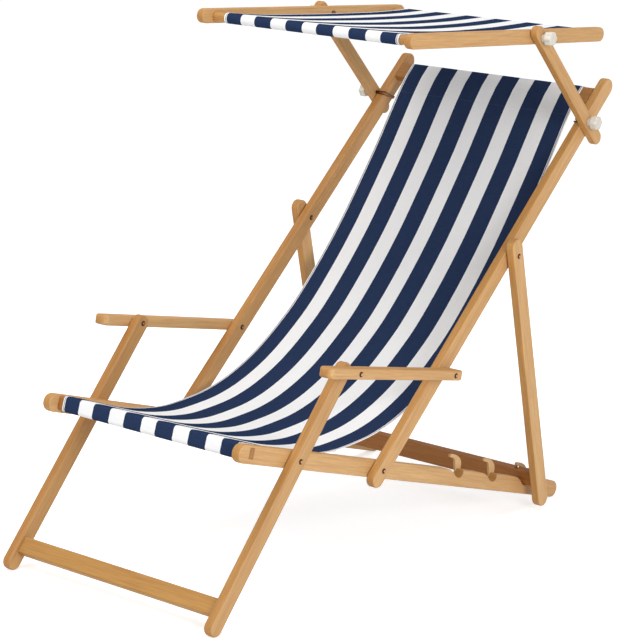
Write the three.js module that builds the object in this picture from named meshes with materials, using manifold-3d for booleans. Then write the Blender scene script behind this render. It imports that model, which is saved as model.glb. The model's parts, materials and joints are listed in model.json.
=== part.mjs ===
// Wooden sun lounger with armrests, a striped sling and a tilting sun canopy.
// Millimetres, +Z up, the sitter faces -Y, and X = 0 is the plane of symmetry.
// Everything is laid out in the side view: there x runs rearwards and y runs up,
// and z runs sideways to the sitter's left. The last group turns that into the part's frame.
import * as THREE from 'three';
import { mergeVertices } from 'three/addons/utils/BufferGeometryUtils.js';
import Module from 'manifold-3d';

const wasm = await Module();
wasm.setup();

// ---- boards, sideways ----
const SEAT_INNER_HALF = 228; // from the middle to the inner face of a seat rail
const BOARD = 18; // thickness of the seat rails, legs, back rails and props
const JOINT_GAP = 0.8; // sideways play between two boards that turn on one rivet
const ARMREST_WIDTH = 34;
const PROP_GAP = 3; // between a back rail and a prop, filled by a washer
const ARM_BOARD = 16; // thickness of a canopy arm
const SEAT_GAP = 0.3; // between two pieces that touch
const OVERRUN = 5; // how far a cutting shape runs past what it cuts

// ---- front legs ----
const LEG_ANGLE = 49.3; // degrees from the floor
const LEG_WIDTH = 32.2;
const LEG_FOOT_TO_SEAT = 342.2; // foot's round end to the seat rivet
const LEG_SEAT_TO_ARMREST = 193;
const STRETCHER_HEIGHT = 34;
const STRETCHER_THICK = 18;
const STRETCHER_FROM_FOOT = 35;
const TENON_HEIGHT_SHARE = 0.7; // a tenon's height in its own board's height
const TENON_THICK_SHARE = 0.5;
const TENON_DEPTH = 12; // how far a blind tenon reaches into its board

// ---- seat rails ----
const SEAT_DEPTH = 34.9;
const SEAT_RIVET_TO_REAR = 905.5; // seat rivet to the middle of the round rear end
const SEAT_RIVET_TO_FRONT = 139.3;
const SEAT_RIVET_TO_BACK = 261; // seat rivet to the back's rivet
const NOTCH_COUNT = 3;
const NOTCH_PITCH = 124.5;
const LAST_NOTCH = 807; // seat rivet to the rear wall of the last notch
const NOTCH_RUN = 66; // ramp and seat of one notch, along the rail
const NOTCH_DEPTH = 16;
const NOTCH_SEAT_RUN = 16; // from the rear wall to the crossbar's lowest corner
// Outline of a notch from its rear wall forwards: shares of the run and of the depth.
const notchOutlineShares = [
  [0, 0], [0, -0.38], [-0.015, -0.65], [-0.06, -0.88], [-0.13, -1], [-0.25, -1],
  [-0.32, -0.93], [-0.38, -0.8], [-0.45, -0.59], [-0.53, -0.38], [-0.63, -0.21],
  [-0.76, -0.08], [-1, 0],
];

// ---- catch hooks on the inner faces of the seat rails ----
const HOOK_THICK = 5;
const HOOK_REACH = 31; // forwards of the notch's rear wall
const HOOK_RISE = 27.5; // above the rail's top edge
const HOOK_TAIL = 15; // rearwards of the notch's rear wall
const HOOK_ROOT = 22; // down the rail's inner face
// Outline of a hook, from its foot up its rear edge, over its tip and back down its inner edge.
// Shares of its reach, or of its tail where positive, and of its rise above the rail.
const hookOutlineShares = [
  [1, 0.1], [0.95, 0.35], [0.75, 0.58], [0.35, 0.78], [-0.1, 0.92], [-0.4, 0.99], [-0.7, 1],
  [-0.95, 0.97], [-1, 0.88], [-0.97, 0.78], [-0.85, 0.74], [-0.6, 0.75], [-0.44, 0.69],
  [-0.34, 0.57], [-0.26, 0.4], [-0.18, 0.2], [-0.1, 0], [0.03, -0.25],
];

// ---- back rails ----
const BACK_WIDTH = 33.7;
const BACK_TAIL = 20; // below the back's rivet
const BACK_TO_ARMREST = 237;
const BACK_TO_PROP = 533.2;
const BACK_LENGTH = 981.4; // back's rivet to the middle of the round top end
const CLAMP_BELOW_TOP = 109.9; // below the middle of the round top end
const TOP_BAR_HEIGHT = 40;
const TOP_BAR_THICK = 19;
const TOP_BAR_TO_END = 38.5; // below the middle of the round top end

// ---- props ----
const PROP_WIDTH = 33.4;
const PROP_REACH = 506.9; // prop rivet to the middle of the crossbar's ends
const PROP_TAIL = 19; // prop rivet to the middle of the round top end
const PROP_FOOT = 43.1; // middle of the crossbar's ends to the middle of the round foot
const CROSSBAR_HEIGHT = 32.3; // of its ends, which lie in the notches
const CROSSBAR_DROP = 8.5; // how much deeper it hangs between the rails
const CROSSBAR_THICK = 18;
const POCKET_WEB = 5; // wood left in front of a hook's pocket
const POCKET_DEPTH = 13;
const POCKET_PLAY = 1;

// ---- armrests ----
const ARMREST_HEIGHT = 20.3;
const ARMREST_FRONT = 90.4; // ahead of the leg's rivet
const ARMREST_REAR = 30.9; // behind the back's rivet
const ARMREST_NOSE = 16; // rounding of the corners seen from above
const ARMREST_END = 8.5; // rounding of the corners seen from the side
const ARMREST_EDGE = 4; // rounding of the long edges

// ---- canopy ----
const ARM_ANGLE = 134.2; // degrees from the floor, rearwards being zero
const ARM_WIDTH = 28.2;
const ARM_LENGTH = 259; // clamp to the canopy rail's bolt
const ARM_TAIL = 51.2; // clamp to the middle of the round lower end
const ARM_HEAD = 13.6; // bolt to the middle of the round upper end
const RAIL_ANGLE = -3.35;
const RAIL_WIDTH = 28.9;
const RAIL_BOARD = 17;
const RAIL_FRONT = 410; // bolt to the front end
const RAIL_REAR = 249;
const CANOPY_BAR = 18.5; // height and width of the two canopy bars
const CANOPY_BAR_ROUND_SHARE = 0.46; // corner radius in that width: nearly a round bar
const CANOPY_BAR_DROP = 1.2; // below the canopy rails' middle line
const BOLT_TO_FRONT_BAR = 372; // bolt to the middle of the front bar
const BOLT_TO_REAR_BAR = 213;

// ---- sling and canopy cloth ----
const CLOTH = 1.2;
const SLING_SIDE_GAP = 8; // from the sling's edge to a seat rail
const CANOPY_SIDE_GAP = 32; // from the canopy's edge to a canopy rail
const FRONT_BAR_HEIGHT = 28;
const FRONT_BAR_THICK = 24;
const FRONT_BAR_FROM_RIVET = 121; // ahead of the seat rivet
const FRONT_BAR_RISE = 2.5; // above the seat rail's middle line
const SLING_SAG = 248; // deepest point below the line between the two bars
const CANOPY_SAG = 11.5;
// The sling's curve: shares of the distance between the bars and of the sag.
const slingCurveShares = [
  [0.017, 0.082], [0.052, 0.256], [0.088, 0.426], [0.127, 0.577], [0.169, 0.708], [0.215, 0.812],
  [0.263, 0.902], [0.315, 0.965], [0.372, 0.998], [0.426, 1], [0.485, 0.972], [0.547, 0.92],
  [0.628, 0.806], [0.701, 0.68], [0.761, 0.558], [0.859, 0.339], [0.915, 0.2], [0.965, 0.075],
];

// The canopy's curve in the same way.
const canopyCurveShares = [[0.1, 0.36], [0.25, 0.75], [0.5, 1], [0.75, 0.75], [0.9, 0.36]];
// Where a cloth starts, leaves, arrives and ends round its bars, in quarter turns.
const HEM_START = 3.5;
const TOP_LEAVE = 0.96;
const TOP_ARRIVE = 1.07;
const HEM_END = -1.5;

// ---- rivets, bolts, washers, knobs ----
const RIVET_R = 3;
const RIVET_HEAD_R = 5.3;
const RIVET_HEAD = 2.2;
const HOLE_PLAY = 0.35;
const FREE_HOLE_PLAY = 1; // at the armrest's leg rivet, where the linkage is left open
const BOLT_R = 3.2;
const WASHER_R = 11;
const WIRE_R = 1.5;
const WIRE_PITCH = 3.6; // between the two wires of a clamp, at their ends
const WIRE_SPREAD = 7.2; // between them at the rail's front edge
const WIRE_BEND = 4;
const WIRE_SLANT = 19; // the clamp's rear leg sits this much higher on the rail
const WIRE_TAIL = 13; // the clamp's short leg behind the rail
const KNOB_R = 14.2;
const KNOB_WAIST_SHARE = 0.84; // valley radius of the star in its tip radius
const KNOB_LOBES = 6;
const KNOB_HEIGHT = 23.5;
const KNOB_NECK = 7.5;
const KNOB_NECK_R = 8.5;
const KNOB_BORE_DEPTH = 16;

// ---- surface and resolution ----
const EDGE = 2.5; // rounding of the boards' long edges
const EDGE_STEPS = 2;
const SOFT_EDGE_STEPS = 3;
const ARC_STEPS = 12; // segments in a half-round end
const ROUND_SIDES = 16;
const WIRE_SIDES = 6;
const WIRE_STEPS = 22;
const LOBE_STEPS = 8;
const SLING_STEPS = 64;
const CANOPY_STEPS = 20;
const WRAP_STEPS = 4; // segments in each rounded corner of a wrapped bar
const WHOLE = 1;
const HALF = 0.5;
const DOUBLE = 2;

const DEG = Math.PI / 180;

// ---- plain vector helpers in the side view ----
const at = (x, y) => new THREE.Vector2(x, y);
const heading = (degrees) => at(Math.cos(degrees * DEG), Math.sin(degrees * DEG));
const along = (from, degrees, distance) => from.clone().addScaledVector(heading(degrees), distance);
const leftOf = (v) => at(-v.y, v.x);
const angleOf = (v) => Math.atan2(v.y, v.x) / DEG;

// ---- layout of the linkage ----
const footRound = LEG_WIDTH * HALF;
const footPoint = at(0, footRound);
const seatRivet = along(footPoint, LEG_ANGLE, LEG_FOOT_TO_SEAT);
const armrestLegRivet = along(seatRivet, LEG_ANGLE, LEG_SEAT_TO_ARMREST);
// The rear ends of the seat rails stand on the floor.
const SEAT_ANGLE = -Math.asin((seatRivet.y - SEAT_DEPTH * HALF) / SEAT_RIVET_TO_REAR) / DEG;
const seatAlong = heading(SEAT_ANGLE);
const seatUp = leftOf(seatAlong);
const onSeat = (x, y) => seatRivet.clone().addScaledVector(seatAlong, x).addScaledVector(seatUp, y);
const backRivet = onSeat(SEAT_RIVET_TO_BACK, 0);
const seatTop = SEAT_DEPTH * HALF;

// The crossbar stands with its lowest corner on the floor of the last notch, so the
// prop's length sets how far the back leans.
const crossbarCorner = onSeat(LAST_NOTCH - NOTCH_SEAT_RUN, seatTop - NOTCH_DEPTH + SEAT_GAP);
const cornerDrop = PROP_REACH + CROSSBAR_HEIGHT * HALF;
const cornerReach = Math.hypot(cornerDrop, CROSSBAR_THICK * HALF);
const cornerFromBack = crossbarCorner.clone().sub(backRivet);
const cornerDistance = cornerFromBack.length();
const backOpening = Math.acos(
  (BACK_TO_PROP ** 2 + cornerDistance ** 2 - cornerReach ** 2) / (DOUBLE * BACK_TO_PROP * cornerDistance),
) / DEG;
const BACK_ANGLE = angleOf(cornerFromBack) + backOpening;
const backAlong = heading(BACK_ANGLE);
const backUp = leftOf(backAlong);
const onBack = (x, y) => backRivet.clone().addScaledVector(backAlong, x).addScaledVector(backUp, y);
const armrestBackRivet = onBack(BACK_TO_ARMREST, 0);
const propRivet = onBack(BACK_TO_PROP, 0);
const cornerTwist = Math.atan2(CROSSBAR_THICK * HALF, cornerDrop) / DEG;
const PROP_ANGLE = angleOf(propRivet.clone().sub(crossbarCorner)) + cornerTwist;
const propUp = heading(PROP_ANGLE);
const crossbarMiddle = propRivet.clone().addScaledVector(propUp, -PROP_REACH);

const ARMREST_ANGLE = angleOf(armrestBackRivet.clone().sub(armrestLegRivet));
const armrestSpan = armrestBackRivet.distanceTo(armrestLegRivet);

// The clamp's wires lie on the front face of the back rail.
const clampOffset = BACK_WIDTH * HALF + SEAT_GAP + WIRE_R;
const clampPoint = onBack(BACK_LENGTH - CLAMP_BELOW_TOP, clampOffset);
const canopyBolt = along(clampPoint, ARM_ANGLE, ARM_LENGTH);

// ---- sideways places of the boards ----
const seatInner = SEAT_INNER_HALF;
const seatOuter = seatInner + BOARD;
const legInner = seatOuter + JOINT_GAP;
const legOuter = legInner + BOARD;
const armrestInner = legOuter + JOINT_GAP;
const armrestOuter = armrestInner + ARMREST_WIDTH;
const propInner = legOuter + PROP_GAP;
const propOuter = propInner + BOARD;
const armInner = legOuter + JOINT_GAP;
const armOuter = armInner + ARM_BOARD;
const railOuter = armInner - JOINT_GAP * DOUBLE;
const railInner = railOuter - RAIL_BOARD;
const slingHalf = seatInner - SLING_SIDE_GAP;
const canopyHalf = railInner - CANOPY_SIDE_GAP;

// ---- materials ----
const beech = new THREE.MeshStandardMaterial({ color: 0xd6a86e, roughness: 0.55, metalness: 0 });
const paleBeech = new THREE.MeshStandardMaterial({ color: 0xe1b27e, roughness: 0.55, metalness: 0 });
const bronze = new THREE.MeshStandardMaterial({ color: 0x8a6a48, roughness: 0.35, metalness: 1 });
const ivory = new THREE.MeshStandardMaterial({ color: 0xe8e0cd, roughness: 0.5, metalness: 0 });
const cloth = new THREE.MeshStandardMaterial({ color: 0x27345f, roughness: 0.9, metalness: 0 });

// ---- solids ----
function toSolid(geometry) {
  const bare = geometry.clone();
  for (const name of Object.keys(bare.attributes)) {
    if (name !== 'position') {
      bare.deleteAttribute(name);
    }
  }
  const merged = mergeVertices(bare);
  return new wasm.Manifold(new wasm.Mesh({
    numProp: merged.attributes.position.itemSize,
    vertProperties: new Float32Array(merged.attributes.position.array),
    triVerts: new Uint32Array(merged.index.array),
  }));
}

function toGeometry(solid) {
  const mesh = solid.getMesh();
  const geometry = new THREE.BufferGeometry();
  geometry.setAttribute('position', new THREE.BufferAttribute(mesh.vertProperties, mesh.numProp));
  geometry.setIndex(new THREE.BufferAttribute(mesh.triVerts, 1));
  return geometry;
}

// Takes the cutting geometries away from a geometry.
function cut(geometry, cutters) {
  let solid = toSolid(geometry);
  for (const cutter of cutters) {
    solid = solid.subtract(toSolid(cutter));
  }
  return toGeometry(solid);
}

function join(geometry, others) {
  let solid = toSolid(geometry);
  for (const other of others) {
    solid = solid.add(toSolid(other));
  }
  return toGeometry(solid);
}

// What two bodies have in common.
function common(geometry, other) {
  return toGeometry(toSolid(geometry).intersect(toSolid(other)));
}

// A plate of the given side-view outline, from z = 0 to its thickness, edges rounded.
function plate(points, thickness, edge, edgeSteps = EDGE_STEPS) {
  const geometry = new THREE.ExtrudeGeometry(new THREE.Shape(points), {
    depth: thickness - edge * DOUBLE,
    bevelEnabled: edge > 0,
    bevelThickness: edge,
    bevelSize: edge,
    bevelOffset: -edge,
    bevelSegments: edgeSteps,
    steps: 1,
  });
  geometry.translate(0, 0, edge);
  return geometry;
}

// A straight board's outline along x, with half-round ends about the two given places.
function roundEnded(fromX, toX, width) {
  const radius = width * HALF;
  const points = [];
  for (let i = 0; i <= ARC_STEPS; i += 1) {
    const turn = -Math.PI * HALF + (Math.PI * i) / ARC_STEPS;
    points.push(at(toX + radius * Math.cos(turn), radius * Math.sin(turn)));
  }
  for (let i = 0; i <= ARC_STEPS; i += 1) {
    const turn = Math.PI * HALF + (Math.PI * i) / ARC_STEPS;
    points.push(at(fromX + radius * Math.cos(turn), radius * Math.sin(turn)));
  }
  return points;
}

// A rectangle with rounded corners about its middle.
function roundedBox(width, height, radius, steps) {
  const points = [];
  const halfX = width * HALF - radius;
  const halfY = height * HALF - radius;
  const corners = [[halfX, halfY], [-halfX, halfY], [-halfX, -halfY], [halfX, -halfY]];
  corners.forEach(([x, y], corner) => {
    for (let i = 0; i <= steps; i += 1) {
      const turn = (corner + i / steps) * Math.PI * HALF;
      points.push(at(x + radius * Math.cos(turn), y + radius * Math.sin(turn)));
    }
  });
  return points;
}

// A cylinder along z between two places, about a side-view point.
function pin(point, radius, fromZ, toZ) {
  const geometry = new THREE.CylinderGeometry(radius, radius, toZ - fromZ, ROUND_SIDES);
  geometry.rotateX(Math.PI * HALF);
  geometry.translate(point.x, point.y, (fromZ + toZ) * HALF);
  return geometry;
}

// A box along z between two places, turned in the side view.
function bar(point, sizeX, sizeY, degrees, fromZ, toZ) {
  const geometry = new THREE.BoxGeometry(sizeX, sizeY, toZ - fromZ);
  geometry.rotateZ(degrees * DEG);
  geometry.translate(point.x, point.y, (fromZ + toZ) * HALF);
  return geometry;
}

// A cutting cylinder right through a board that lies from z = 0 to its thickness.
const hole = (x, y, radius, thickness) => pin(at(x, y), radius, -OVERRUN, thickness + OVERRUN);

// A mortise from a board's inner face, at z = 0, that is a clearance larger than its tenon.
const mortise = (x, y, sizeX, sizeY, depth) => bar(
  at(x, y), sizeX + SEAT_GAP * DOUBLE, sizeY + SEAT_GAP * DOUBLE, 0, -OVERRUN, depth + SEAT_GAP,
);

// ---- scene graph ----
const model = new THREE.Group();
const sideView = new THREE.Group();
sideView.quaternion.setFromRotationMatrix(new THREE.Matrix4().makeBasis(
  new THREE.Vector3(0, 1, 0),
  new THREE.Vector3(0, 0, 1),
  new THREE.Vector3(1, 0, 0),
));
model.add(sideView);

// Adds a mesh at a side-view point and angle, with its z = 0 face at the given place.
function add(name, geometry, material, point, degrees, z) {
  const mesh = new THREE.Mesh(geometry, material);
  mesh.name = name;
  mesh.position.set(point.x, point.y, z);
  mesh.rotation.z = degrees * DEG;
  sideView.add(mesh);
  return mesh;
}

// Adds a board to both sides, between its inner and its outer face.
function addPair(name, geometry, material, point, degrees, inner, outer) {
  add(`${name}_left`, geometry, material, point, degrees, inner);
  add(`${name}_right`, geometry, material, point, degrees, -outer);
}

// Adds to both sides a piece whose outer face differs from its inner one.
function addMirrored(name, geometry, material, point, degrees, inner) {
  add(`${name}_left`, geometry, material, point, degrees, inner);
  const other = geometry.clone();
  other.scale(1, 1, -WHOLE);
  add(`${name}_right`, flipped(other), material, point, degrees, -inner);
}

// Turns the triangles of a mirrored geometry round again.
function flipped(geometry) {
  const result = geometry.index ? geometry.toNonIndexed() : geometry;
  const place = result.attributes.position;
  const bare = new THREE.BufferGeometry();
  const values = [];
  for (let i = 0; i < place.count; i += 3) {
    for (const corner of [i, i + 2, i + 1]) {
      values.push(place.getX(corner), place.getY(corner), place.getZ(corner));
    }
  }
  bare.setAttribute('position', new THREE.Float32BufferAttribute(values, place.itemSize));
  return mergeVertices(bare);
}

// A rivet with a domed head on each side of a stack of boards.
function rivet(stack) {
  const length = stack + SEAT_GAP * DOUBLE;
  const shoulder = RIVET_HEAD * HALF * HALF;
  const dome = RIVET_HEAD_R * HALF;
  const profile = [
    at(0, -RIVET_HEAD),
    at(dome, -RIVET_HEAD + shoulder * HALF),
    at(RIVET_HEAD_R, -shoulder),
    at(RIVET_HEAD_R, 0),
    at(RIVET_R, 0),
    at(RIVET_R, length),
    at(RIVET_HEAD_R, length),
    at(RIVET_HEAD_R, length + shoulder),
    at(dome, length + RIVET_HEAD - shoulder * HALF),
    at(0, length + RIVET_HEAD),
  ];
  const geometry = new THREE.LatheGeometry(profile, ROUND_SIDES);
  geometry.rotateX(Math.PI * HALF);
  return geometry;
}

function addRivets(name, point, inner, outer) {
  const geometry = rivet(outer - inner);
  add(`${name}_left`, geometry, bronze, point, 0, inner - SEAT_GAP);
  add(`${name}_right`, geometry, bronze, point, 0, -outer - SEAT_GAP);
}

// A cross piece between two rails, with a tenon at each end that runs through them.
function crossPiece(section, halfLength, tenonX, tenonY, halfOverall, edge) {
  const body = plate(section, halfLength * DOUBLE, edge);
  body.translate(0, 0, -halfLength);
  const tenons = new THREE.BoxGeometry(tenonX, tenonY, halfOverall * DOUBLE);
  return join(body, [tenons]);
}

const rivetHole = RIVET_R + HOLE_PLAY;

// ---- seat frame ----
const frontBarX = -FRONT_BAR_FROM_RIVET;
const frontTenonX = FRONT_BAR_THICK * TENON_THICK_SHARE;
const frontTenonY = FRONT_BAR_HEIGHT * TENON_HEIGHT_SHARE;

// The outline of one notch, ending above the rail's top edge.
function notchCutter(rearWall) {
  const points = notchOutlineShares.map(([x, y]) => at(
    rearWall + x * NOTCH_RUN,
    seatTop + y * NOTCH_DEPTH,
  ));
  points.push(at(rearWall - NOTCH_RUN, seatTop + OVERRUN));
  points.push(at(rearWall, seatTop + OVERRUN));
  return bored(points, BOARD);
}

// A cutting plate with square edges that runs past both faces of a board.
function bored(points, thickness) {
  const geometry = plate(points, thickness + OVERRUN * DOUBLE, 0);
  geometry.translate(0, 0, -OVERRUN);
  return geometry;
}

const rearWalls = Array.from({ length: NOTCH_COUNT }, (_, i) => LAST_NOTCH - i * NOTCH_PITCH);

function seatRail() {
  const board = plate(roundEnded(-SEAT_RIVET_TO_FRONT, SEAT_RIVET_TO_REAR, SEAT_DEPTH), BOARD, EDGE);
  return cut(board, [
    hole(0, 0, rivetHole, BOARD),
    hole(SEAT_RIVET_TO_BACK, 0, rivetHole, BOARD),
    mortise(frontBarX, FRONT_BAR_RISE, frontTenonX, frontTenonY, BOARD + OVERRUN),
    ...rearWalls.map(notchCutter),
  ]);
}
addPair('seat_rail', seatRail(), beech, seatRivet, SEAT_ANGLE, seatInner, seatOuter);

const frontBarRound = FRONT_BAR_THICK * HALF * HALF;
const frontBarSection = roundedBox(FRONT_BAR_THICK, FRONT_BAR_HEIGHT, frontBarRound, WRAP_STEPS);
const frontBarPoint = onSeat(frontBarX, FRONT_BAR_RISE);
add(
  'seat_front_bar',
  crossPiece(frontBarSection, seatInner - SEAT_GAP, frontTenonX, frontTenonY, seatOuter, 0),
  beech, frontBarPoint, SEAT_ANGLE, 0,
);

// A catch hook rises behind its notch and curves forwards over the crossbar.
function catchHook(rearWall) {
  const points = hookOutlineShares.map(([x, y]) => at(
    rearWall + x * (x > 0 ? HOOK_TAIL : HOOK_REACH),
    seatTop + y * HOOK_RISE,
  ));
  const rootY = seatTop - HOOK_ROOT;
  return plate([...points, at(points.at(-1).x, rootY), at(points[0].x, rootY)], HOOK_THICK, 0);
}
const hookOuter = seatInner - SEAT_GAP;
rearWalls.toReversed().forEach((rearWall, i) => {
  const name = `catch_hook_${i + 1}`;
  addPair(name, catchHook(rearWall), paleBeech, seatRivet, SEAT_ANGLE, hookOuter - HOOK_THICK, hookOuter);
});
addRivets('rivet_seat_leg', seatRivet, seatInner, legOuter);
addRivets('rivet_seat_back', backRivet, seatInner, legOuter);

// ---- front legs ----
function leg() {
  const board = plate(
    roundEnded(-LEG_FOOT_TO_SEAT, LEG_SEAT_TO_ARMREST, LEG_WIDTH), BOARD, EDGE,
  );
  return cut(board, [
    hole(0, 0, rivetHole, BOARD),
    hole(LEG_SEAT_TO_ARMREST, 0, RIVET_R + FREE_HOLE_PLAY, BOARD),
    mortise(
      STRETCHER_FROM_FOOT - LEG_FOOT_TO_SEAT, 0,
      STRETCHER_HEIGHT * TENON_HEIGHT_SHARE, STRETCHER_THICK * TENON_THICK_SHARE, TENON_DEPTH,
    ),
  ]);
}
addMirrored('leg', leg(), beech, seatRivet, LEG_ANGLE, legInner);
add(
  'leg_stretcher',
  crossPiece(
    roundedBox(STRETCHER_HEIGHT, STRETCHER_THICK, EDGE, EDGE_STEPS), legInner - SEAT_GAP,
    STRETCHER_HEIGHT * TENON_HEIGHT_SHARE, STRETCHER_THICK * TENON_THICK_SHARE, legInner + TENON_DEPTH, 0,
  ),
  beech, along(footPoint, LEG_ANGLE, STRETCHER_FROM_FOOT), LEG_ANGLE, 0,
);

// ---- back frame ----
const topBarX = BACK_LENGTH - TOP_BAR_TO_END;
const topBarY = BACK_WIDTH * HALF - TOP_BAR_THICK * HALF;

function backRail() {
  const board = plate(roundEnded(-BACK_TAIL, BACK_LENGTH, BACK_WIDTH), BOARD, EDGE);
  return cut(board, [
    hole(0, 0, rivetHole, BOARD),
    hole(BACK_TO_ARMREST, 0, rivetHole, BOARD),
    hole(BACK_TO_PROP, 0, rivetHole, BOARD),
    mortise(
      topBarX, topBarY,
      TOP_BAR_HEIGHT * TENON_HEIGHT_SHARE, TOP_BAR_THICK * TENON_THICK_SHARE, TENON_DEPTH,
    ),
  ]);
}
addMirrored('back_rail', backRail(), beech, backRivet, BACK_ANGLE, legInner);
const topBarPoint = onBack(topBarX, topBarY);
const topBarRound = TOP_BAR_THICK * HALF * HALF;
add(
  'back_top_bar',
  crossPiece(
    roundedBox(TOP_BAR_HEIGHT, TOP_BAR_THICK, topBarRound, WRAP_STEPS), legInner - SEAT_GAP,
    TOP_BAR_HEIGHT * TENON_HEIGHT_SHARE, TOP_BAR_THICK * TENON_THICK_SHARE, legInner + TENON_DEPTH, 0,
  ),
  beech, topBarPoint, BACK_ANGLE, 0,
);

// ---- props ----
function propLeg() {
  const board = plate(roundEnded(-PROP_REACH - PROP_FOOT, PROP_TAIL, PROP_WIDTH), BOARD, EDGE);
  return cut(board, [
    hole(0, 0, rivetHole, BOARD),
    mortise(
      -PROP_REACH, 0,
      CROSSBAR_HEIGHT * TENON_HEIGHT_SHARE, CROSSBAR_THICK * TENON_THICK_SHARE, TENON_DEPTH,
    ),
  ]);
}
addMirrored('prop_leg', propLeg(), beech, propRivet, PROP_ANGLE, propInner);

// The crossbar hangs deeper between the hooks than at its ends, and its upper edge has an
// open pocket for each side's hook, behind a web of wood.
function crossbar() {
  const ends = crossPiece(
    roundedBox(CROSSBAR_HEIGHT, CROSSBAR_THICK, EDGE, EDGE_STEPS), propInner - SEAT_GAP,
    CROSSBAR_HEIGHT * TENON_HEIGHT_SHARE, CROSSBAR_THICK * TENON_THICK_SHARE, propInner + TENON_DEPTH, 0,
  );
  const pocketFrom = hookOuter - HOOK_THICK - POCKET_PLAY;
  const pocketTo = hookOuter + POCKET_PLAY;
  const deepSection = roundedBox(CROSSBAR_HEIGHT + CROSSBAR_DROP, CROSSBAR_THICK, EDGE, EDGE_STEPS);
  const deepPart = plate(deepSection, pocketFrom * DOUBLE, 0);
  deepPart.translate(-CROSSBAR_DROP * HALF, 0, -pocketFrom);
  const depth = CROSSBAR_THICK - POCKET_WEB + OVERRUN;
  const middle = at(
    CROSSBAR_HEIGHT * HALF + (OVERRUN - POCKET_DEPTH) * HALF,
    -CROSSBAR_THICK * HALF - OVERRUN + depth * HALF,
  );
  return cut(join(ends, [deepPart]), [
    bar(middle, POCKET_DEPTH + OVERRUN, depth, 0, pocketFrom, pocketTo),
    bar(middle, POCKET_DEPTH + OVERRUN, depth, 0, -pocketTo, -pocketFrom),
  ]);
}
add('prop_crossbar', crossbar(), beech, crossbarMiddle, PROP_ANGLE, 0);
addRivets('rivet_prop', propRivet, legInner, propOuter);

function washer() {
  const thickness = PROP_GAP - SEAT_GAP * DOUBLE;
  return cut(pin(at(0, 0), WASHER_R, 0, thickness), [hole(0, 0, rivetHole, thickness)]);
}
addPair('prop_washer', washer(), bronze, propRivet, 0, legOuter + SEAT_GAP, propInner - SEAT_GAP);

// ---- armrests ----
// Drawn in plan: x runs rearwards and y runs outwards, then laid on its side.
function armrest() {
  const front = -ARMREST_FRONT;
  const rear = armrestSpan + ARMREST_REAR;
  const middle = (front + rear) * HALF;
  const fromAbove = roundedBox(rear - front, ARMREST_WIDTH, ARMREST_NOSE, ARC_STEPS)
    .map((p) => at(p.x + middle, p.y + ARMREST_WIDTH * HALF));
  const board = plate(fromAbove, ARMREST_HEIGHT, ARMREST_EDGE, SOFT_EDGE_STEPS);
  board.rotateX(Math.PI * HALF);
  board.translate(0, ARMREST_HEIGHT * HALF, 0);
  const fromSide = roundedBox(rear - front, ARMREST_HEIGHT, ARMREST_END, SOFT_EDGE_STEPS)
    .map((p) => at(p.x + middle, p.y));
  return cut(common(board, plate(fromSide, ARMREST_WIDTH, 0)), [
    hole(0, 0, rivetHole, ARMREST_WIDTH),
    hole(armrestSpan, 0, rivetHole, ARMREST_WIDTH),
  ]);
}
addPair('armrest', armrest(), beech, armrestLegRivet, ARMREST_ANGLE, armrestInner, armrestOuter);
addRivets('rivet_armrest_leg', armrestLegRivet, legInner, armrestOuter);
addRivets('rivet_armrest_back', armrestBackRivet, legInner, armrestOuter);

// ---- canopy arms, their clamps and knobs ----
const boltHole = BOLT_R + HOLE_PLAY;

function canopyArm() {
  const board = plate(roundEnded(-ARM_TAIL, ARM_LENGTH + ARM_HEAD, ARM_WIDTH), ARM_BOARD, EDGE);
  return cut(board, [
    hole(0, 0, boltHole, ARM_BOARD),
    hole(ARM_LENGTH, 0, boltHole, ARM_BOARD),
  ]);
}
addPair('canopy_arm', canopyArm(), beech, clampPoint, ARM_ANGLE, armInner, armOuter);

// One wire of a clamp: round the rail's rear edge, across its inner face, out along its front.
// The two wires lie on either side of the bolt, so side is 1 or -1.
function clampWire(side) {
  const shift = side * WIRE_PITCH * HALF;
  const inner = legInner - SEAT_GAP - WIRE_R;
  const rear = -clampOffset * DOUBLE;
  const corners = [
    new THREE.Vector3(WIRE_SLANT + shift, rear, inner + WIRE_TAIL),
    new THREE.Vector3(WIRE_SLANT + shift, rear, inner),
    new THREE.Vector3(side * WIRE_SPREAD * HALF, 0, inner),
    new THREE.Vector3(shift, 0, armInner + WIRE_R),
  ];
  const path = new THREE.CurvePath();
  let from = corners[0];
  for (let i = 1; i < corners.length - 1; i += 1) {
    const back = corners[i - 1].clone().sub(corners[i]).setLength(WIRE_BEND).add(corners[i]);
    const ahead = corners[i + 1].clone().sub(corners[i]).setLength(WIRE_BEND).add(corners[i]);
    path.add(new THREE.LineCurve3(from, back));
    path.add(new THREE.QuadraticBezierCurve3(back, corners[i], ahead));
    from = ahead;
  }
  path.add(new THREE.LineCurve3(from, corners.at(-1)));
  const section = Array.from({ length: WIRE_SIDES }, (_, i) => {
    const turn = (i / WIRE_SIDES) * Math.PI * DOUBLE;
    return at(WIRE_R * Math.cos(turn), WIRE_R * Math.sin(turn));
  });
  return new THREE.ExtrudeGeometry(new THREE.Shape(section), { extrudePath: path, steps: WIRE_STEPS });
}

const boltEnd = armOuter + SEAT_GAP + KNOB_NECK + KNOB_BORE_DEPTH * HALF;

function clamp() {
  const stud = pin(at(0, 0), BOLT_R, armInner + HOLE_PLAY, boltEnd);
  return join(stud, [clampWire(WHOLE), clampWire(-WHOLE)]);
}
addMirrored('clamp_wire', clamp(), bronze, clampPoint, BACK_ANGLE, 0);

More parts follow.
